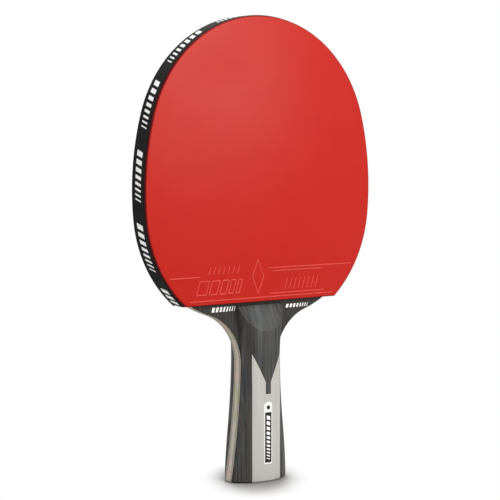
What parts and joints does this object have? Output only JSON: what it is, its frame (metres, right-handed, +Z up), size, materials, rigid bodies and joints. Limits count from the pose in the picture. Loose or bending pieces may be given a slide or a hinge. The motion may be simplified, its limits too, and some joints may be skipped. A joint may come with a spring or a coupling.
{
  "type": "table tennis paddle",
  "caption": "Table tennis paddle with a laminated carbon blade, smooth red and black rubbers on sponge, a taped edge and a flared handle with a pale centre strip.",
  "frame": {"origin": "centre of the flat handle end, where the paddle stands", "axes": "+Z up along the handle to the top of the head, +X across the blade, -Y out of the red forehand face"},
  "size_m": [0.1518, 0.024, 0.2546],
  "materials": {
    "red_rubber": "satin smooth rubber sheet, red",
    "black_rubber": "satin smooth rubber sheet, black",
    "sponge": "fine closed-cell sponge, charcoal",
    "edge_tape": "matt charcoal tape with a pale repeating mark",
    "stained_veneer": "charcoal stained veneer, satin lacquer",
    "inner_veneer": "pale veneer, bare at the edge",
    "carbon_fibre": "woven carbon fibre in resin",
    "core_wood": "light core wood, bare at the edge",
    "stained_wood": "charcoal stained grip wood, satin lacquer",
    "silver_wood": "silver grey stained strip, satin lacquer",
    "badge": "white plate with a black panel, no lettering"
  },
  "bodies": {
    "root": {"core_ply": "core_wood", "edge_tape": "edge_tape", "badge": "badge", "forehand_topsheet": "red_rubber", "backhand_topsheet": "black_rubber", "forehand_sponge": "sponge", "forehand_inner_ply": "inner_veneer", "forehand_carbon_ply": "carbon_fibre", "forehand_outer_ply": "stained_veneer", "forehand_handle_left_strip": "stained_wood", "forehand_handle_right_strip": "stained_wood", "forehand_handle_tongue": "stained_wood", "forehand_handle_inlay": "silver_wood", "backhand_sponge": "sponge", "backhand_inner_ply": "inner_veneer", "backhand_carbon_ply": "carbon_fibre", "backhand_outer_ply": "stained_veneer", "backhand_handle_left_strip": "stained_wood", "backhand_handle_right_strip": "stained_wood", "backhand_handle_tongue": "stained_wood", "backhand_handle_inlay": "silver_wood"}
  },
  "joints": []
}
